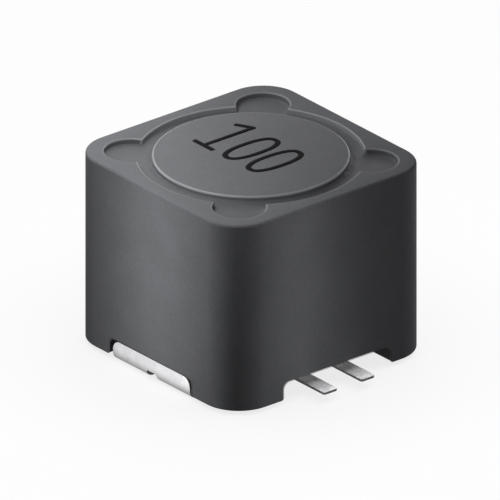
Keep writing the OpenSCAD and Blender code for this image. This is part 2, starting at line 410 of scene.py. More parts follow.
def makeAdhesive():
    a = adhesive
    wall, core = mouthOutline(-a["clear"]), drum["r"] + a["clear"]
    pockets = [(sx * shield["pocketAt"], sy * shield["pocketAt"]) for sx in (-1, 1) for sy in (-1, 1)]

    def wallDistance(x, y):
        # inside the union of the bore and the pockets the farther wall counts
        depths = [shield["boreR"] - math.hypot(x, y)]
        depths += [shield["pocketR"] - math.hypot(x - px, y - py) for px, py in pockets]
        return max(0, min(max(depths), math.hypot(x, y) - drum["r"]))

    def surface(x, y):
        climb = a["creep"] * math.exp(-wallDistance(x, y) / a["reach"])
        climb += a["drumCreep"] * math.exp((drum["r"] - math.hypot(x, y)) / a["reach"])
        drift = noise.noise(Vector((x, y, 3)) / a["waveSize"])
        return a["top"] - 0.5 * a["creep"] + climb + a["wave"] * drift

    points, edges = closedLoops(wall, arc((0, 0), core, 0, 360, drum["steps"])[:-1])
    for step in (0.03, 0.08, 0.15):
        shrunk = mouthOutline(-a["clear"] - step)
        points += [Vector(p) for p in shrunk + arc((0, 0), core + step, 0, 360, 120)[:-1]
                   if wallDistance(*p) > step * 0.9]
    count = int(2 * shield["half"] / a["pitch"])
    for i in range(count):
        for j in range(count):
            x, y = (i + 0.5 * (j % 2)) * a["pitch"] - shield["half"], j * a["pitch"] - shield["half"]
            if math.hypot(x, y) > core and wallDistance(x, y) > 0.2:
                points.append(Vector((x, y)))
    flat, _, faces, _, _, _ = delaunay_2d_cdt(points, edges, [], 0, 1e-7)
    bm = bmesh.new()
    verts = [bm.verts.new((p.x, p.y, surface(p.x, p.y))) for p in flat]
    for face in faces:
        x, y = (sum(flat[i][k] for i in face) / len(face) for k in (0, 1))
        if math.hypot(x, y) > core * math.cos(math.pi / drum["steps"]) and inside(x, y, wall):
            bm.faces.new([verts[i] for i in face])
    bmesh.ops.delete(bm, geom=[v for v in bm.verts if not v.link_faces], context="VERTS")
    rim = [e for e in bm.edges if e.is_boundary]
    grown = bmesh.ops.extrude_edge_only(bm, edges=rim)["geom"]
    for v in (g for g in grown if isinstance(g, bmesh.types.BMVert)):
        v.co.z = a["bottom"]
    low = [e for e in bm.edges if e.is_boundary]
    bmesh.ops.triangle_fill(bm, use_beauty=True, use_dissolve=False, edges=low)
    return smoothed(meshPiece("gapAdhesive", bm))


adhesivePiece = makeAdhesive()
print("adhesive:", len(adhesivePiece.data.polygons), "faces")


# terminals: one tinned stamping each, drawn flat and then bent
terminal = dict(
    sheet=0.12,
    plateW=5.6,
    plateY=-frontLow.y,         # outer face of the side plate
    plateTop=frontHigh.z,
    cornerR=0.5,                # top corners of the plate
    bendR=0.4,
    footL=2.8,
    footR=0.12,
    slotW=0.75,
    slotL=1.3,
    slotTop=0.39,
    slotR=0.14,
    neckW=2.4,
    neckR=0.2,                  # inner corners where the neck widens
    stripW=0.82,
    stripR=0.12,                # corners of the strips' ends
    stripY=drum["leadY"],
    stripHalf=frontHigh.x,
    stripRise=0.5,
    stepR=0.16,                 # bends of the step between foot and strip
    rolled=0.02,                # rounding of the sheared edges
    bendStep=7.5,
)


def bentPath():
    # middle of the sheet seen along X: rows of (length, y, z), and the lengths at which bends start
    t = terminal
    m, footEnd = t["sheet"] / 2, t["plateY"] - t["footL"]
    shift, stepEnd = m * math.tan(math.radians(22.5)), t["stripRise"] - footEnd
    corners = [((-t["plateY"] + m, t["plateTop"]), 0), ((-t["plateY"] + m, m), t["bendR"] - m),
               ((-footEnd - shift, m), t["stepR"]), ((stepEnd - shift, t["stripRise"] + m), t["stepR"]),
               ((-t["stripY"] + t["stripW"] / 2, t["stripRise"] + m), 0)]
    corners = [(Vector(p), r) for p, r in corners]
    track, starts = [corners[0][0]], []
    for (before, _), (here, r), (after, _) in zip(corners, corners[1:], corners[2:]):
        back, on = (before - here).normalized(), (after - here).normalized()
        turn = math.pi - back.angle(on)
        centre = here + (back + on).normalized() * r / math.cos(turn / 2)
        first = here + back * r * math.tan(turn / 2) - centre
        last = here + on * r * math.tan(turn / 2) - centre
        steps = round(math.degrees(turn) / t["bendStep"])
        starts.append(len(track))
        for i in range(steps + 1):
            a = turn * i / steps
            track.append(centre + (first * math.sin(turn - a) + last * math.sin(a)) / math.sin(turn))
    track.append(corners[-1][0])
    lengths = [0]
    for a, b in zip(track, track[1:]):
        lengths.append(lengths[-1] + (b - a).length)
    return [(v, p.x, p.y) for v, p in zip(lengths, track)], [lengths[i] for i in starts]


def onSheet(rows, v):
    for (v0, y0, z0), (v1, y1, z1) in zip(rows, rows[1:]):
        if v <= v1 + 1e-9:
            t = (v - v0) / (v1 - v0)
            return mix(y0, y1, t), mix(z0, z1, t)
    return rows[-1][1:]


def makeTerminal(name, turn):
    t = terminal
    rows, (bendFrom, footEnd, _) = bentPath()
    total = rows[-1][0]
    bendTo = bendFrom + (t["bendR"] - t["sheet"] / 2) * math.pi / 2
    stripFrom = total - t["stripW"]
    w, n, s = t["plateW"] / 2, t["neckW"] / 2, t["stripHalf"]
    c, f, k, e = t["cornerR"], t["footR"], t["neckR"], t["stripR"]
    half = arc((w - c, c), c, 270, 360, 12)
    half += arc((w - f, footEnd - f), f, 0, 90, 5)
    half += arc((n + k / 2, footEnd + k / 2), k / 2, 270, 180, 5)
    half += arc((n + k, stripFrom - k), k, 180, 90, 6)
    half += arc((s - e, stripFrom + e), e, 270, 360, 5) + arc((s - e, total - e), e, 0, 90, 5)
    outline = half + [(-x, v) for x, v in reversed(half)]
    r, q = t["slotW"] / 2, t["slotR"]
    slotFrom, slotTo = t["plateTop"] - t["slotTop"], bendTo + t["slotL"] - t["bendR"]
    hole = arc((r - q, slotFrom + q), q, 0, -90, 5)
    hole += arc((q - r, slotFrom + q), q, -90, -180, 5)
    hole += arc((0, slotTo - r), r, 180, 0, 18)
    points, edges = closedLoops(outline, hole)
    for v, _, _ in rows[1:-1]:
        reach = w if v < footEnd - f else n             # lines across the sheet, where it bends
        ends = [-reach, -r, r, reach] if slotFrom < v < slotTo else [-reach, reach]
        for a, b in zip(ends[::2], ends[1::2]):
            first = len(points)
            points += [Vector((mix(a, b, i / 8), v)) for i in range(9)]
            edges += [(first + i, first + i + 1) for i in range(8)]
    flat, _, faces, _, _, _ = delaunay_2d_cdt(points, edges, [], 0, 1e-5)
    bm = bmesh.new()
    verts = [bm.verts.new((p.x, *onSheet(rows, min(max(p.y, 0), total)))) for p in flat]
    for face in faces:
        x, v = (sum(flat[i][j] for i in face) / len(face) for j in (0, 1))
        if inside(x, v, outline) and not inside(x, v, hole):
            bm.faces.new([verts[i] for i in face])
    bmesh.ops.delete(bm, geom=[v for v in bm.verts if not v.link_faces], context="VERTS")
    turnRoundZ(bm, math.radians(turn))
    piece = meshPiece(name, bm)
    for _ in range(2):                                  # the rim's material number needs two slots
        piece.data.materials.append(None)
    thick = piece.modifiers.new("sheet", "SOLIDIFY")
    thick.thickness = t["sheet"] * mm
    thick.offset = 0
    thick.use_even_offset = True
    thick.material_offset_rim = 1                       # sheared edges have their own finish
    roll = piece.modifiers.new("rolled", "BEVEL")
    roll.width = t["rolled"] * mm
    roll.segments = 2
    roll.limit_method = "ANGLE"
    roll.angle_limit = math.radians(50)
    roll.use_clamp_overlap = True
    applied(piece)
    return smoothed(piece, 50)


terminalPieces = [makeTerminal("terminalFront", 0), makeTerminal("terminalBack", 180)]
print("terminals:", len(terminalPieces[0].data.polygons), "faces each")


# winding: one enamelled wire, up in the inner layer and down in the outer one
winding = dict(
    wireR=0.4,
    gap=0.03,
    bend=0.7,                   # radius at which the leads turn down
    leadInTurn=100,
    stepTurn=80,
    leadOutTurn=60,
    turnStep=6,                 # degrees between two points of the path
    sides=20,
)


def windingPath():
    w, d = winding, drum
    innerR = d["postR"] + w["gap"] + w["wireR"]
    outerR = innerR + w["gap"] + 2 * w["wireR"]
    low = d["low"] + d["flange"] + w["gap"] + w["wireR"]
    high = d["top"] - d["flange"] - w["gap"] - w["wireR"]
    turns = math.floor((high - low) / (2 * w["wireR"] + w["gap"]))
    endZ = solderHigh.z
    bendTurn = math.degrees(w["bend"] / d["leadR"])
    innerTurn = 360 * turns
    whole = 180 + 360 * (2 * turns - 1)
    outerTurn = whole - 2 * bendTurn - w["leadInTurn"] - innerTurn - w["stepTurn"] - w["leadOutTurn"]
    outerEnd = high - (high - low) / turns * outerTurn / 360
    path, angle = [(d["leadR"], 0, endZ)], 0
    for i in range(13):
        a = math.radians(7.5 * i)
        path.append((d["leadR"], bendTurn * (1 - math.cos(a)), low - w["bend"] * (1 - math.sin(a))))
    angle = bendTurn
    # stretches of (turn, radius from, radius to, height from, height to)
    for turn, r0, r1, z0, z1 in ((w["leadInTurn"], d["leadR"], innerR, low, low),
                                 (innerTurn, innerR, innerR, low, high),
                                 (w["stepTurn"], innerR, outerR, high, high),
                                 (outerTurn, outerR, outerR, high, outerEnd),
                                 (w["leadOutTurn"], outerR, d["leadR"], outerEnd, outerEnd)):
        steps = math.ceil(turn / w["turnStep"])
        for i in range(1, steps + 1):
            t = i / steps
            path.append((mix(r0, r1, ease(t)), angle + turn * t, mix(z0, z1, t)))
        angle += turn
    for i in range(1, 13):
        a = math.radians(7.5 * i)
        path.append((d["leadR"], angle + bendTurn * math.sin(a), outerEnd - w["bend"] * (1 - math.cos(a))))
    path.append((d["leadR"], whole, endZ))
    swing = [(r, leadAngle + math.radians(a), z) for r, a, z in path]
    return [(r * math.cos(a), r * math.sin(a), z) for r, a, z in swing]


def linePiece(name, lines):
    # open lines as loose edges, which the node trees sweep
    bm = bmesh.new()
    for line in lines:
        verts = [bm.verts.new(p) for p in line]
        for a, b in zip(verts, verts[1:]):
            bm.edges.new((a, b))
    return meshPiece(name, bm)


def newTree(name, sizes):
    # a node tree with a named float or integer input for each size
    tree = bpy.data.node_groups.new(name, "GeometryNodeTree")
    tree.interface.new_socket("Lines", in_out="INPUT", socket_type="NodeSocketGeometry")
    tree.interface.new_socket("Piece", in_out="OUTPUT", socket_type="NodeSocketGeometry")
    for label, value in sizes.items():
        kind = "NodeSocketInt" if isinstance(value, int) else "NodeSocketFloat"
        socket = tree.interface.new_socket(label, in_out="INPUT", socket_type=kind)
        socket.default_value = value
    tree.interface.new_socket("Finish", in_out="INPUT", socket_type="NodeSocketMaterial")
    return tree, addNode(tree, "NodeGroupInput").outputs


def runTree(piece, tree, values):
    grow = piece.modifiers.new("grow", "NODES")
    grow.node_group = tree
    for item in tree.interface.items_tree:
        if item.in_out == "INPUT" and item.name in values:
            grow[item.identifier] = values[item.name]
    return applied(piece)


def endTree(tree, given, shape):
    real = addNode(tree, "GeometryNodeRealizeInstances", {0: shape})
    finish = addNode(tree, "GeometryNodeSetMaterial",
                     {"Geometry": real.outputs[0], "Material": given["Finish"]})
    addNode(tree, "NodeGroupOutput", {0: finish.outputs[0]})


def wireTree():
    tree, given = newTree("sweptWire", {"Wire radius": 0.4 * mm, "Sides": 20})
    line = addNode(tree, "GeometryNodeMeshToCurve", {0: given["Lines"]})
    section = addNode(tree, "GeometryNodeCurvePrimitiveCircle",
                      {"Resolution": given["Sides"], "Radius": given["Wire radius"]})
    wire = addNode(tree, "GeometryNodeCurveToMesh",
                   {"Curve": line.outputs[0], "Profile Curve": section.outputs[0], "Fill Caps": True})
    soft = addNode(tree, "GeometryNodeSetShadeSmooth", {0: wire.outputs[0]})
    endTree(tree, given, soft.outputs[0])
    return tree


def inkTree():
    # a flat domed stroke of ink with a slightly ragged edge
    tree, given = newTree("printedStroke", {"Half width": 0.14 * mm, "Ink height": 0.03 * mm,
                                            "Raggedness": 0.01 * mm, "Ragged size": 0.1 * mm, "Seed": 4})
    line = addNode(tree, "GeometryNodeMeshToCurve", {0: given["Lines"]})
    upright = addNode(tree, "GeometryNodeSetCurveNormal", {0: line.outputs[0]}, mode="Z_UP")
    section = addNode(tree, "GeometryNodeCurvePrimitiveCircle", {"Resolution": 12, "Radius": 1.0})
    shape = addNode(tree, "ShaderNodeCombineXYZ",
                    {"X": given["Half width"], "Y": given["Ink height"], "Z": 1.0})
    flat = addNode(tree, "GeometryNodeTransform", {"Geometry": section.outputs[0], "Scale": shape.outputs[0]})
    stroke = addNode(tree, "GeometryNodeCurveToMesh",
                     {"Curve": upright.outputs[0], "Profile Curve": flat.outputs[0], "Fill Caps": True})
    perSize = addNode(tree, "ShaderNodeMath", {0: 1.0, 1: given["Ragged size"]}, operation="DIVIDE")
    rough = addNode(tree, "ShaderNodeTexNoise",
                    {"W": given["Seed"], "Scale": perSize.outputs[0], "Detail": 1.0}, noise_dimensions="4D")
    centred = addNode(tree, "ShaderNodeVectorMath",
                      {0: rough.outputs["Color"], 1: (0.5, 0.5, 0.5)}, operation="SUBTRACT")
    sideways = addNode(tree, "ShaderNodeVectorMath",
                       {0: centred.outputs[0], 1: (1.0, 1.0, 0.0)}, operation="MULTIPLY")
    push = addNode(tree, "ShaderNodeVectorMath",
                   {0: sideways.outputs[0], "Scale": given["Raggedness"]}, operation="SCALE")
    moved = addNode(tree, "GeometryNodeSetPosition",
                    {"Geometry": stroke.outputs[0], "Offset": push.outputs[0]})
    soft = addNode(tree, "GeometryNodeSetShadeSmooth", {0: moved.outputs[0]})
    endTree(tree, given, soft.outputs[0])
    return tree


windingPiece = linePiece("winding", [windingPath()])
runTree(windingPiece, wireTree(), {"Wire radius": winding["wireR"] * mm, "Sides": winding["sides"]})
print("winding:", len(windingPiece.data.polygons), "faces")


# value code: plain figures, pad printed on the drum
code = dict(
    height=3.2,
    noughtW=1.44,
    stroke=0.28,
    pitch=1.7,
    power=2.4,                  # squareness of a nought, 2 is an ellipse
    footW=1.4,
    flagW=0.68,
    flagDrop=0.4,
    x=-0.45,
    y=0.4,
    ragged=0.02,
    raggedSize=0.16,
    seed=4,
)


def codeLines():
    c = code
    half, top, side = c["stroke"] / 2, c["height"] / 2, c["stroke"] / 2
    z, one = drum["top"], c["x"] - c["pitch"]
    stem = [(0, top - 0.02), (0, 0), (0, -top + half)]
    foot = [(-c["footW"] / 2, -top + half), (0, -top + half), (c["footW"] / 2, -top + half)]
    flag = [(-side - c["flagW"], top - half - c["flagDrop"]), (-side, top - half - 0.03)]
    flag.append((side * 0.5, top - half))
    lines = [[(one + x, c["y"] + y, z) for x, y in line] for line in (stem, foot, flag)]
    w, h = c["noughtW"] / 2 - half, top - half
    for middle in (c["x"], c["x"] + c["pitch"]):
        ring = []
        for i in range(73):
            a = math.tau * i / 72
            x, y = (math.copysign(abs(v) ** (2 / c["power"]), v) for v in (math.cos(a), math.sin(a)))
            ring.append((middle + w * x, c["y"] + h * y, z))
        lines.append(ring)
    return lines


codePiece = linePiece("valueCode", codeLines())
runTree(codePiece, inkTree(), {"Half width": code["stroke"] / 2 * mm,
                               "Ink height": (inkHigh.z - drum["top"]) * mm,
                               "Raggedness": code["ragged"] * mm, "Ragged size": code["raggedSize"] * mm,
                               "Seed": code["seed"]})
print("value code:", len(codePiece.data.polygons), "faces")


# solder: a fillet drawn up round each lead by the melt
solder = dict(foot=0.6, low=solderLow.z, top=solderHigh.z, hollow=2.4, steps=64, rows=12)


def makeSolder(name, turn):
    s = solder
    profile = [(0, s["low"])]
    for i in range(s["rows"] + 1):
        t = i / s["rows"]
        r = mix(winding["wireR"], s["foot"], (1 - t) ** s["hollow"])
        profile.append((r + 0.004, mix(s["low"], s["top"], t)))
    profile.append((0, s["top"]))
    a = leadAngle + math.radians(turn)
    bm = bmesh.new()
    lathe(bm, profile, s["steps"], (drum["leadR"] * math.cos(a), drum["leadR"] * math.sin(a)))
    return smoothed(meshPiece(name, bm), 60)


solderPieces = [makeSolder("solderFront", 0), makeSolder("solderBack", 180)]


# bonds: beads of epoxy squeezed between the feet and the drum
bond = dict(
    length=4.4,
    width=0.9,
    low=bondLow.z,
    top=bondHigh.z,
    bulge=0.06,                 # how far the middle of the bead swells out
    wander=0.05,                # unevenness of its outline
    wanderSize=0.7,
    rows=10,
)


def makeBond(name, turn):
    b = bond
    middleY = (bondLow.y + bondHigh.y) / 2
    rings = []
    for i in range(b["rows"] + 1):
        t = i / b["rows"]
        grow = b["bulge"] * (math.sin(math.pi * t) - 1)
        r, reach = b["width"] / 2 + grow, (b["length"] - b["width"]) / 2
        outline = arc((reach, 0), r, -90, 90, 24)
        outline += [(mix(reach, -reach, j / 24), r) for j in range(1, 24)]
        outline += arc((-reach, 0), r, 90, 270, 24)
        outline += [(mix(-reach, reach, j / 24), -r) for j in range(1, 24)]
        ring = []
        for x, y in outline:
            out = b["wander"] * (noise.noise(Vector((x, y, t + turn)) / b["wanderSize"]) - 0.5)
            away = Vector((x - max(-reach, min(reach, x)), y)).normalized() * out
            ring.append((x + away.x, middleY + y + away.y, mix(b["low"], b["top"], t)))
        rings.append(ring)
    bm = bmesh.new()
    capEnds(bm, addRings(bm, rings))
    turnRoundZ(bm, math.radians(turn))
    return smoothed(meshPiece(name, bm), 60)


bondPieces = [makeBond("bondFront", 0), makeBond("bondBack", 180)]
print("solder and bonds made")


# each finish is a tree of its own, with a Principled shader at its end
def newFinish(name):
    material = bpy.data.materials.new(name)
    material.use_nodes = True
    material.node_tree.nodes.clear()
    place = addNode(material.node_tree, "ShaderNodeTexCoord").outputs["Object"]
    return material, material.node_tree, place


def endFinish(material, tree, shader):
    addNode(tree, "ShaderNodeOutputMaterial", {"Surface": shader.outputs[0]})
    return material


def stretched(tree, place, x, y, z):
    # place in units of x, y and z millimetres, so that a pattern of scale 1 has that size
    return addNode(tree, "ShaderNodeMapping",
                   {"Vector": place, "Scale": (1 / (x * mm), 1 / (y * mm), 1 / (z * mm))}).outputs[0]


ferriteFinish = dict(
    grain=0.09,                 # sintered grains are a few microns, drawn coarser so that they show
    blotch=1.6,                 # clouds left by the binder burning out
    pit=0.5,                    # spacing of the pits
    dragX=0.12,                 # spacing of the die's upright drag lines
    dragZ=6.0,
    dragHeight=0.35,            # relief of the drag lines, as a share of the grain's
    pitEdge=(0.04, 0.1),        # where a pit starts and ends, as a share of the spacing
    pitShadeTone="#2a2a2b",
    pitShadeShare=0.2,               # how far a pit takes on its painted shade
    pitHeight=-1.5,
    clouds=(0.94, 1.06),        # darkest and palest cloud
    gloss=(-0.05, 0.07),        # spread of the roughness
    relief=0.3,
    depth=0.004,
)


def sinteredFerrite(name, colour, light, dark, rough, specular):
    # pressed and sintered NiZn ferrite: near-black grey, matt, with fine grain, soft clouds and pits, which
    # are dents darkened by painted shade
    f = ferriteFinish
    material, tree, place = newFinish(name)
    grain = addNode(tree, "ShaderNodeTexNoise",
                    {"Vector": stretched(tree, place, f["grain"], f["grain"], f["grain"]),
                     "Scale": 1.0, "Detail": 3.0, "Roughness": 0.6})
    cloud = addNode(tree, "ShaderNodeTexNoise",
                    {"Vector": stretched(tree, place, f["blotch"], f["blotch"], f["blotch"]),
                     "Scale": 1.0, "Detail": 4.0, "Roughness": 0.55})
    drag = addNode(tree, "ShaderNodeTexNoise",
                   {"Vector": stretched(tree, place, f["dragX"], f["dragX"], f["dragZ"]),
                    "Scale": 1.0, "Detail": 2.0, "Roughness": 0.5})
    pits = addNode(tree, "ShaderNodeTexVoronoi",
                   {"Vector": stretched(tree, place, f["pit"], f["pit"], f["pit"]), "Scale": 1.0,
                    "Randomness": 1.0})
    pitMask = addNode(tree, "ShaderNodeMapRange",
                      {"Value": pits.outputs["Distance"], "From Min": f["pitEdge"][0],
                       "From Max": f["pitEdge"][1], "To Min": f["pitShadeShare"], "To Max": 0.0})
    grainTone = addNode(tree, "ShaderNodeValToRGB", {"Fac": grain.outputs["Fac"]})
    ramp = grainTone.color_ramp
    ramp.elements[0].position, ramp.elements[0].color = 0.3, linear(dark)
    ramp.elements[1].position, ramp.elements[1].color = 0.7, linear(light)
    middle = ramp.elements.new(0.5)
    middle.color = linear(colour)
    cloudTone = addNode(tree, "ShaderNodeMapRange",
                        {"Value": cloud.outputs["Fac"], "From Min": 0.3, "From Max": 0.7,
                         "To Min": f["clouds"][0], "To Max": f["clouds"][1]})
    toned = addNode(tree, "ShaderNodeVectorMath",
                    {0: grainTone.outputs[0], "Scale": cloudTone.outputs[0]}, operation="SCALE")
    # pits darkened with painted shade
    pitted = addNode(tree, "ShaderNodeMix",
                     {"Factor": pitMask.outputs[0], 6: toned.outputs[0], 7: linear(f["pitShadeTone"])},
                     data_type="RGBA")
    gloss = addNode(tree, "ShaderNodeMapRange",
                    {"Value": cloud.outputs["Fac"], "From Min": 0.3, "From Max": 0.7,
                     "To Min": rough + f["gloss"][0], "To Max": rough + f["gloss"][1]})
    heightA = addNode(tree, "ShaderNodeMath",
                      {0: drag.outputs["Fac"], 1: f["dragHeight"], 2: grain.outputs["Fac"]},
                      operation="MULTIPLY_ADD")
    heightB = addNode(tree, "ShaderNodeMath",
                      {0: pitMask.outputs[0], 1: f["pitHeight"], 2: heightA.outputs[0]},
                      operation="MULTIPLY_ADD")
    bump = addNode(tree, "ShaderNodeBump",
                   {"Strength": f["relief"], "Distance": f["depth"] * mm, "Height": heightB.outputs[0]})
    shader = addNode(tree, "ShaderNodeBsdfPrincipled",
                     {"Base Color": pitted.outputs[2], "Roughness": gloss.outputs[0],
                      "IOR": 1.5, "Specular IOR Level": specular, "Normal": bump.outputs[0]})
    return endFinish(material, tree, shader)


def patternedFinish(name, size, detail, tones, relief, depth, shading, gloss=None, spots=None):
    # one pattern drives two tones, the relief and, where gloss is given, the roughness; spots narrows it
    material, tree, place = newFinish(name)
    pattern = addNode(tree, "ShaderNodeTexNoise",
                      {"Vector": stretched(tree, place, *size), "Scale": 1.0, "Detail": detail})
    pattern = pattern.outputs["Fac"]
    share = pattern
    if spots:
        share = addNode(tree, "ShaderNodeMapRange",
                        {"Value": pattern, "From Min": spots[0], "From Max": spots[1]}).outputs[0]
    tone = addNode(tree, "ShaderNodeMix",
                   {"Factor": share, 6: linear(tones[0]), 7: linear(tones[1])}, data_type="RGBA")
    bump = addNode(tree, "ShaderNodeBump", {"Strength": relief, "Distance": depth * mm, "Height": pattern})
    sockets = {"Base Color": tone.outputs[2], "Normal": bump.outputs[0], **shading}
    if gloss:
        sockets["Roughness"] = addNode(tree, "ShaderNodeMapRange",
                                       {"Value": pattern, "From Min": 0.3, "From Max": 0.7,
                                        "To Min": gloss[0], "To Max": gloss[1]}).outputs[0]
    return endFinish(material, tree, addNode(tree, "ShaderNodeBsdfPrincipled", sockets))


def paintedHighlightFerrite(name, dull, bright, rough):
    # ferrite edges given a paler tone than the sintered skin as a painted highlight, with fine lines round Z
    return patternedFinish(name, (0.4, 0.4, 0.02), 2.0, (dull, bright), 0.3, 0.003,
                           {"IOR": 1.5, "Specular IOR Level": 0.3}, gloss=(rough - 0.04, rough + 0.06))


epoxySkin = dict(
    speckEdge=(0.45, 0.75),     # where the filler's specks start and end in the pattern
    gloss=(-0.06, 0.08),        # spread of the roughness
    relief=0.5,
    depth=0.02,
    specular=0.1,
)


def filledEpoxy(name, colour, light, rough, speck, swell):
    # cured epoxy with mineral filler: smooth skin, slow swells, fine specks
    e = epoxySkin
    material, tree, place = newFinish(name)
    specks = addNode(tree, "ShaderNodeTexNoise",
                     {"Vector": stretched(tree, place, speck, speck, speck),
                      "Scale": 1.0, "Detail": 2.0, "Roughness": 0.6})
    skin = addNode(tree, "ShaderNodeTexNoise",
                   {"Vector": stretched(tree, place, swell, swell, swell),
                    "Scale": 1.0, "Detail": 2.0, "Roughness": 0.4})
    speckMask = addNode(tree, "ShaderNodeMapRange",
                        {"Value": specks.outputs["Fac"], "From Min": e["speckEdge"][0],
                         "From Max": e["speckEdge"][1]})
    tone = addNode(tree, "ShaderNodeMix",
                   {"Factor": speckMask.outputs[0], 6: linear(colour), 7: linear(light)}, data_type="RGBA")
    gloss = addNode(tree, "ShaderNodeMapRange",
                    {"Value": skin.outputs["Fac"], "From Min": 0.3, "From Max": 0.7,
                     "To Min": rough + e["gloss"][0], "To Max": rough + e["gloss"][1]})
    bump = addNode(tree, "ShaderNodeBump",
                   {"Strength": e["relief"], "Distance": e["depth"] * mm, "Height": skin.outputs["Fac"]})
    shader = addNode(tree, "ShaderNodeBsdfPrincipled",
                     {"Base Color": tone.outputs[2], "Roughness": gloss.outputs[0], "IOR": 1.5,
                      "Specular IOR Level": e["specular"], "Normal": bump.outputs[0]})
    return endFinish(material, tree, shader)


tinSkin = dict(
    crystal=0.16,
    mottle=0.5,
    rolling=(0.07, 1.5, 1.5),   # spacing of the rolling grain along X, Y and Z
    crystalShare=0.35,          # the crystals' part in the mottle
    mottleEdge=(0.4, 0.95),
    bendShadeTop=0.7,                # up to here the lower bend takes painted shade
    bendShadeTones=(0.3, 1.0),
    fold=5,                     # the painted shade beside the body is the same on both ends
    bodyShadeEdge=(4.2, 2.6),        # folded distances along X between which it changes
    bodyShadeTones=(0.13, 0.9),
    gloss=(-0.05, 0.08),        # spread of the roughness
    relief=0.4,
    depth=0.004,
)


def mattTinPlate(name, colour, dull, rough):
    # electroplated matt tin on rolled copper: pale silver, faint crystal mottle and rolling grain, with
    # painted shade in the lower bend and where the strips leave the body
    t = tinSkin
    material, tree, place = newFinish(name)
    crystals = addNode(tree, "ShaderNodeTexVoronoi",
                       {"Vector": stretched(tree, place, *[t["crystal"]] * 3), "Scale": 1.0},
                       feature="SMOOTH_F1")
    mottle = addNode(tree, "ShaderNodeTexNoise",
                     {"Vector": stretched(tree, place, *[t["mottle"]] * 3), "Scale": 1.0, "Detail": 3.0})
    rolling = addNode(tree, "ShaderNodeTexNoise",
                      {"Vector": stretched(tree, place, *t["rolling"]), "Scale": 1.0, "Detail": 2.0})
    blend = addNode(tree, "ShaderNodeMath",
                    {0: crystals.outputs["Distance"], 1: t["crystalShare"], 2: mottle.outputs["Fac"]},
                    operation="MULTIPLY_ADD")
    shade = addNode(tree, "ShaderNodeMapRange",
                    {"Value": blend.outputs[0], "From Min": t["mottleEdge"][0],
                     "From Max": t["mottleEdge"][1]})
    tone = addNode(tree, "ShaderNodeMix",
                   {"Factor": shade.outputs[0], 6: linear(colour), 7: linear(dull)}, data_type="RGBA")
    axes = addNode(tree, "ShaderNodeSeparateXYZ", {0: place})
    # painted shade: darker in the lower bend and beside the body
    bendShade = addNode(tree, "ShaderNodeMapRange",
                    {"Value": axes.outputs["Z"], "From Min": 0.0, "From Max": t["bendShadeTop"] * mm,
                     "To Min": t["bendShadeTones"][0], "To Max": t["bendShadeTones"][1]},
                    interpolation_type="SMOOTHSTEP")
    fold = addNode(tree, "ShaderNodeMath", {0: axes.outputs["X"], 1: t["fold"] * mm}, operation="PINGPONG")
    bodyShade = addNode(tree, "ShaderNodeMapRange",
                     {"Value": fold.outputs[0], "From Min": t["bodyShadeEdge"][0] * mm,
                      "From Max": t["bodyShadeEdge"][1] * mm,
                      "To Min": t["bodyShadeTones"][0], "To Max": t["bodyShadeTones"][1]})
    both = addNode(tree, "ShaderNodeMath", {0: bendShade.outputs[0], 1: bodyShade.outputs[0]}, operation="MULTIPLY")
    shadedTone = addNode(tree, "ShaderNodeVectorMath",
                      {0: tone.outputs[2], "Scale": both.outputs[0]}, operation="SCALE")
    gloss = addNode(tree, "ShaderNodeMapRange",
                    {"Value": blend.outputs[0], "From Min": t["mottleEdge"][0],
                     "From Max": t["mottleEdge"][1],
                     "To Min": rough + t["gloss"][0], "To Max": rough + t["gloss"][1]})
    height = addNode(tree, "ShaderNodeMath",
                     {0: rolling.outputs["Fac"], 1: 0.5, 2: crystals.outputs["Distance"]},
                     operation="MULTIPLY_ADD")
    bump = addNode(tree, "ShaderNodeBump",
                   {"Strength": t["relief"], "Distance": t["depth"] * mm, "Height": height.outputs[0]})
    shader = addNode(tree, "ShaderNodeBsdfPrincipled",
                     {"Base Color": shadedTone.outputs[0], "Metallic": 1.0, "Roughness": gloss.outputs[0],
                      "Normal": bump.outputs[0]})
    return endFinish(material, tree, shader)


def shearedEdge(name):
    # the punched edge of the sheet: grey tin smeared over copper, drawn in fine upright lines
    return patternedFinish(name, (0.04, 0.04, 0.4), 2.0, ("#6a6764", "#3a3634"), 0.5, 0.004,
                           {"Metallic": 1.0, "Roughness": 0.5})


def reflowedSolder(name):
    # tin-silver solder as it froze: bright, with a shallow frosted skin
    return patternedFinish(name, (0.12, 0.12, 0.12), 4.0, ("#d2d3d6", "#aaabae"), 0.4, 0.008,
                           {"Metallic": 1.0}, gloss=(0.16, 0.34))


def enamelledCopper(name):
    # copper under clear polyester-imide enamel: red-brown metal below a glossy coat
    return patternedFinish(name, (0.3, 0.3, 0.08), 2.0, ("#b4652c", "#8d4a1f"), 0.2, 0.004,
                           {"Metallic": 1.0, "Roughness": 0.32, "Coat Weight": 1.0, "Coat Roughness": 0.06})


def padInk(name):
    # pad-printing ink: matt black film with thin, slightly greyer spots
    return patternedFinish(name, (0.11, 0.11, 0.11), 3.0, ("#0e0d0f", "#1c1b1d"), 0.3, 0.003,
                           {"Roughness": 0.6, "Specular IOR Level": 0.03}, spots=(0.55, 0.75))
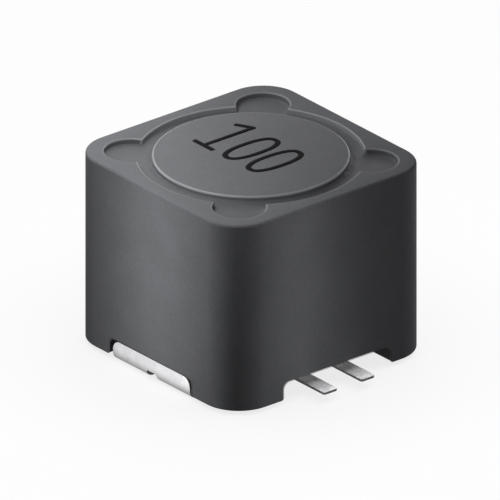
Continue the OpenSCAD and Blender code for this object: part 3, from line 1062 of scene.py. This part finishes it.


# pale tones on the bore, the pockets' edges and the drum's rim: painted highlight
boreHighlightFinish = paintedHighlightFerrite("paintedHighlightBore", "#8e8f92", "#9c9da0", 0.42)
pocketHighlightFinish = paintedHighlightFerrite("paintedHighlightPockets", "#7c7d80", "#8a8b8e", 0.42)
rimHighlightFinish = paintedHighlightFerrite("paintedHighlightRim", "#929396", "#a2a3a6", 0.4)
shieldFinish = sinteredFerrite("sinteredFerriteShield", "#77787b", "#7b7c7f", "#727376", 0.6, 0.04)
drumFinish = sinteredFerrite("sinteredFerriteDrum", "#78797c", "#7c7d80", "#737477", 0.55, 0.05)
# dark copies of the ferrite in the notches: painted shade
notchShadeFinish = sinteredFerrite("paintedShadeNotch", "#2e2d2f", "#333234", "#29282a", 0.7, 0.05)
archShadeFinish = sinteredFerrite("paintedShadeArch", "#565557", "#5b5a5c", "#515052", 0.7, 0.05)
gapFinish = filledEpoxy("filledGreyEpoxy", "#66676a", "#707174", 0.46, 0.06, 0.5)
bondFinish = filledEpoxy("darkBondingEpoxy", "#2d2c2b", "#3b3a38", 0.3, 0.08, 0.35)
tinFinish = mattTinPlate("mattTinPlate", "#ececed", "#dadadc", 0.55)
edgeFinish = shearedEdge("shearedSheetEdge")
solderFinish = reflowedSolder("reflowedSolder")
copperFinish = enamelledCopper("enamelledCopperWire")
inkFinish = padInk("padPrintedInk")
finishPiece(shieldPiece, [shieldFinish, boreHighlightFinish, pocketHighlightFinish, gapFinish, notchShadeFinish, archShadeFinish],
            "ferrite_shield", "shield_core")
finishPiece(drumPiece, [drumFinish, rimHighlightFinish], "ferrite_drum", "drum_core")
finishPiece(adhesivePiece, [gapFinish], "gap_epoxy", "gap_adhesive")
finishPiece(windingPiece, [copperFinish], "enamelled_copper", "winding")
finishPiece(codePiece, [inkFinish], "marking_ink", "value_code")
for side, end in enumerate(("front", "back")):
    finishPiece(terminalPieces[side], [tinFinish, edgeFinish], "tinned_copper", "terminal_" + end)
    finishPiece(solderPieces[side], [solderFinish], "solder", "solder_" + end)
    finishPiece(bondPieces[side], [bondFinish], "bonding_epoxy", "bond_" + end)
print("finishes made:", len(bpy.data.materials))


# studio: a pale floor and world that the eye and every mirror see as white
studio = dict(
    floorHalf=400,              # millimetres
    floorDrop=0.01,             # below the feet, so that no two faces share a plane
    floorShade="#3a3a3a",       # how much light the floor throws back on the part
    floorGlow=0.8,              # the rest of what is seen is the lit floor with the shadow
    worldShade=0.02,
)


def seenDirectly(tree):
    # 1 for rays from the camera and for rays mirrored or bent by the part
    path = addNode(tree, "ShaderNodeLightPath").outputs
    mirrored = addNode(tree, "ShaderNodeMath",
                       {0: path["Is Camera Ray"], 1: path["Is Glossy Ray"]}, operation="MAXIMUM")
    return addNode(tree, "ShaderNodeMath",
                   {0: mirrored.outputs[0], 1: path["Is Transmission Ray"]}, operation="MAXIMUM").outputs[0]


def makeFloor():
    s = studio
    bm = bmesh.new()
    corners = [(x * s["floorHalf"], y * s["floorHalf"], -s["floorDrop"])
               for x, y in ((-1, -1), (1, -1), (1, 1), (-1, 1))]
    bm.faces.new([bm.verts.new(p) for p in corners])
    floor = meshPiece("studioFloor", bm)
    material = bpy.data.materials.new("whiteStudioFloor")
    material.use_nodes = True
    tree = material.node_tree
    tree.nodes.clear()
    seen = seenDirectly(tree)
    share = addNode(tree, "ShaderNodeMath", {0: seen, 1: s["floorGlow"]}, operation="MULTIPLY")
    tone = addNode(tree, "ShaderNodeMix",
                   {"Factor": seen, 6: linear(s["floorShade"]), 7: linear("#ffffff")}, data_type="RGBA")
    lit = addNode(tree, "ShaderNodeBsdfDiffuse", {"Color": tone.outputs[2]})
    glow = addNode(tree, "ShaderNodeEmission", {"Color": linear("#ffffff"), "Strength": 1.0})
    both = addNode(tree, "ShaderNodeMixShader", {0: share.outputs[0], 1: lit.outputs[0], 2: glow.outputs[0]})
    floor.data.materials.append(endFinish(material, tree, both))
    floor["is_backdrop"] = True
    return floor


def makeWorld():
    world = bpy.data.worlds.new("studioWorld")
    world.use_nodes = True
    bpy.context.scene.world = world
    tree = world.node_tree
    tree.nodes.clear()
    strength = addNode(tree, "ShaderNodeMapRange",
                       {"Value": seenDirectly(tree), "To Min": studio["worldShade"], "To Max": 1.0})
    shine = addNode(tree, "ShaderNodeBackground",
                    {"Color": linear("#ffffff"), "Strength": strength.outputs[0]})
    addNode(tree, "ShaderNodeOutputWorld", {"Surface": shine.outputs[0]})


# lamps: where each stands and looks in millimetres, its width and height, its turn about its own
# line of sight, its power in milliwatts, and what it lights when that isn't the whole part
lamps = dict(
    barLeft=dict(place=(-4.5, -5.5, 22.7), aim=(-4.5, -5.5, 9), size=(2.5, 44), turn=50.6, power=3.3),
    keyLow=dict(place=(-10.4, -6, 12.7), aim=(0, 0, 9.7), size=(4, 4), power=0.14),
    uprightFront=dict(place=(0.4, -10, -1.5), aim=(0.4, -6, -1.5), size=(3.6, 30), power=0.6),
    uprightRight=dict(place=(9, -2.1, -1.5), aim=(6, -2.1, -1.5), size=(1.5, 30), power=0.165),
    uprightBack=dict(place=(-0.4, 10, -1.5), aim=(-0.4, 6, -1.5), size=(3.6, 30), power=0.6),
    uprightLeft=dict(place=(-9, 2.1, -1.5), aim=(-6, 2.1, -1.5), size=(1.5, 30), power=0.165),
    fillRight=dict(place=(25, 43, 9.4), aim=(0, 0, 5), size=(20, 20), power=2.6),
    tinRight=dict(place=(-2.3, 7.3, 10.2), aim=(6.8, 0, 0.6), size=(7, 7), power=0.6, lights="tin"),
    tinLeft=dict(place=(2.3, -7.3, 10.2), aim=(-6.8, 0, 0.6), size=(7, 7), power=0.6, lights="tin"),
    skyFloor=dict(place=(0, 0, 150), aim=(0, 0, 0), size=(260, 260), power=400, lights="floor"),
)


def makeLamps(**lit):
    # a lamp of the part passes through the floor, so that the upright ones reach below it
    groups = {}
    for name, members in lit.items():
        groups[name] = bpy.data.collections.new(name + "Lit")
        for member in members:
            groups[name].objects.link(member)
    for name, spec in lamps.items():
        data = bpy.data.lights.new(name, "AREA")
        data.shape = "RECTANGLE"
        data.size, data.size_y = (length * mm for length in spec["size"])
        data.energy = spec["power"] * 0.001
        lamp = bpy.data.objects.new(name, data)
        place, aim = Vector(spec["place"]) * mm, Vector(spec["aim"]) * mm
        look = (aim - place).to_track_quat("-Z", "Y").to_matrix()
        lamp.location = place
        lamp.rotation_euler = (look @ Matrix.Rotation(math.radians(spec.get("turn", 0)), 3, "Z")).to_euler()
        lamp.visible_camera = False
        lights = spec.get("lights", "part")
        lamp.light_linking.receiver_collection = groups[lights]
        if lights != "floor":
            lamp.light_linking.blocker_collection = groups[lights]
        bpy.context.scene.collection.objects.link(lamp)


camera = dict(azimuth=50.6, elevation=25.3, width=23.15, target=(-0.03, -0.036, 4.85), distance=150)


def makeCamera():
    data = bpy.data.cameras.new("camera")
    data.type = "ORTHO"
    data.ortho_scale = camera["width"] * mm
    data.clip_start = mm
    data.clip_end = 10
    eye = bpy.data.objects.new("camera", data)
    a, e = math.radians(camera["azimuth"]), math.radians(camera["elevation"])
    away = Vector((math.sin(a) * math.cos(e), -math.cos(a) * math.cos(e), math.sin(e)))
    eye.location = (Vector(camera["target"]) + away * camera["distance"]) * mm
    eye.rotation_euler = (-away).to_track_quat("-Z", "Y").to_euler()
    bpy.context.scene.collection.objects.link(eye)
    bpy.context.scene.camera = eye


studioFloor = makeFloor()
makeWorld()
makeLamps(part=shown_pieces(), tin=terminalPieces, floor=[studioFloor])
makeCamera()
bpy.context.scene.view_settings.view_transform = "Standard"
print("studio made")
